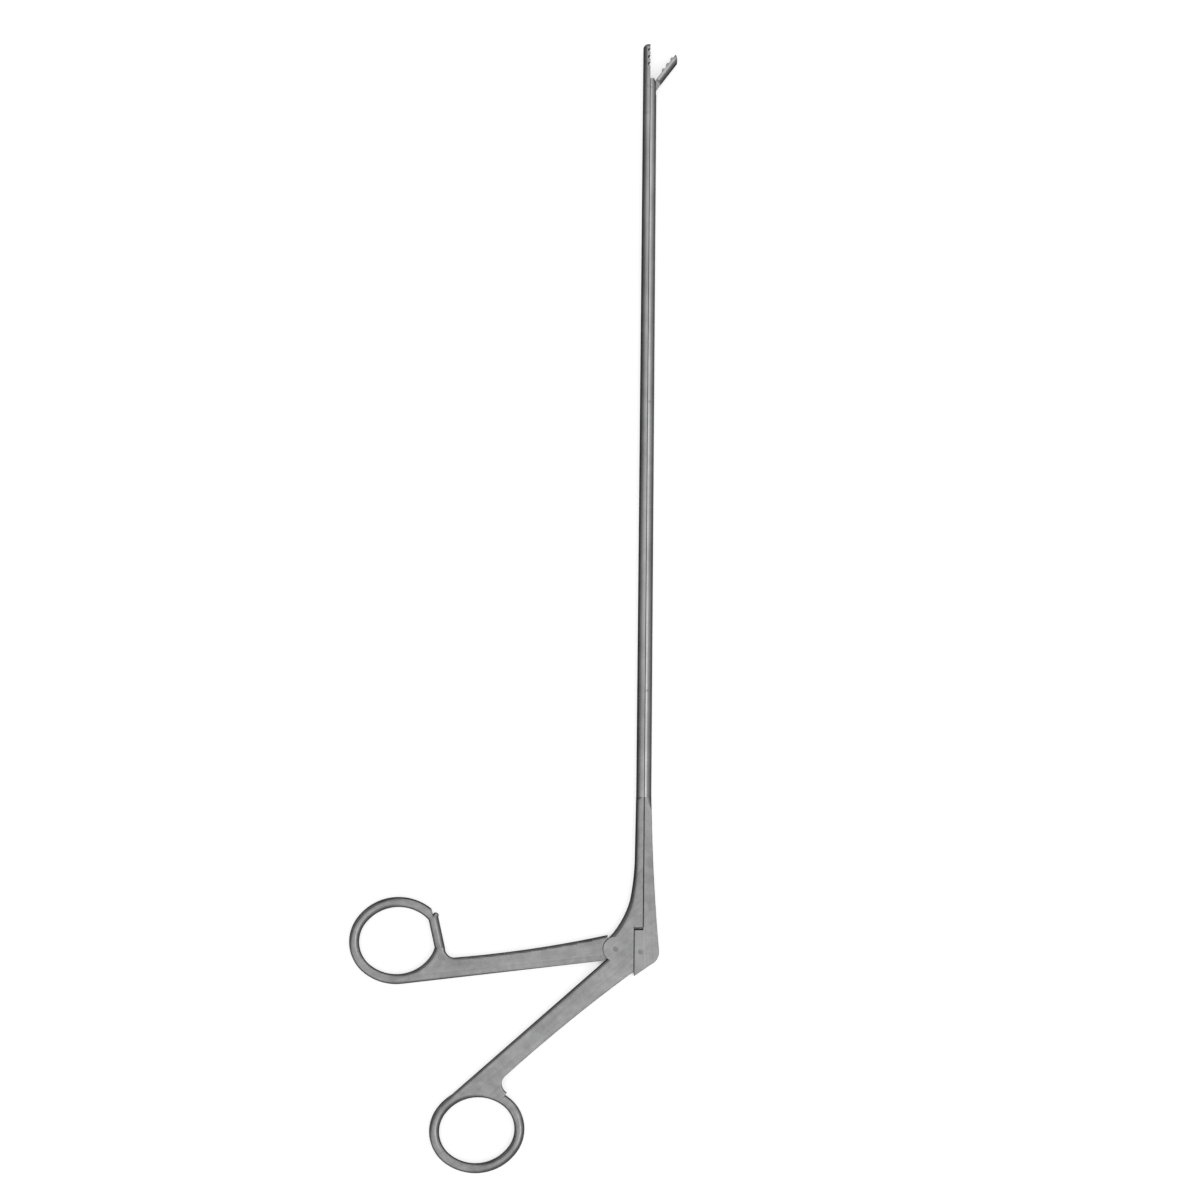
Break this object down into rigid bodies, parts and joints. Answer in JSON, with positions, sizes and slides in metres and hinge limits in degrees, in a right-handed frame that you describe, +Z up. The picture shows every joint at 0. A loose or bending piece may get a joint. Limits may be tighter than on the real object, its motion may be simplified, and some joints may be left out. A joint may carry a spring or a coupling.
{
  "type": "bronchoscopy forceps",
  "caption": "Rigid bronchoscopy forceps in satin steel: finger-ring handles, a long split sliding shaft and a toothed jaw that swings open at the tip.",
  "frame": {"origin": "where the axis of the main pivot meets the resting face of the lock", "axes": "+Y along the shaft towards the jaws, +Z up from the resting face along the axes of the pivots, +X away from the finger rings"},
  "size_m": [0.1267, 0.4465, 0.006],
  "materials": {
    "satin_steel": "satin",
    "pin_steel": "ground flush"
  },
  "bodies": {
    "fixed": {"fixed_half_shaft": "satin_steel", "lock_body_with_rear_handle": "satin_steel", "main_pivot_pin": "pin_steel", "jaw_pivot_pin": "pin_steel", "front_guide_key": "satin_steel", "front_guide_rivet": "pin_steel"},
    "front_handle": {"front_handle": "satin_steel"},
    "slide": {"sliding_half_shaft": "satin_steel", "slide_foot": "satin_steel", "drive_pin": "pin_steel", "jaw_link_pin": "pin_steel", "middle_guide_key": "satin_steel", "middle_guide_rivet": "pin_steel", "rear_guide_key": "satin_steel", "rear_guide_rivet": "pin_steel"},
    "jaw": {"moving_jaw": "satin_steel"}
  },
  "joints": [
    {"name": "handle_squeeze", "type": "hinge", "parent": "fixed", "child": "front_handle", "pos_m": [0, 0, 0.003], "axis": [0, 0, 1], "range_deg": [0, 6.13]},
    {"name": "slide_travel", "type": "slide", "parent": "fixed", "child": "slide", "axis": [0, 1, 0], "range_m": [0, 0.00105]},
    {"name": "jaw_swing", "type": "hinge", "parent": "fixed", "child": "jaw", "pos_m": [0.0099, 0.3406, 0.003], "axis": [0, 0, 1], "range_deg": [0, 37.5]}
  ],
  "couplings": [
    {"joint": "slide_travel", "follows": "handle_squeeze", "m_per_rad": 0.0098076},
    {"joint": "jaw_swing", "follows": "handle_squeeze", "ratio": 6.1134}
  ]
}
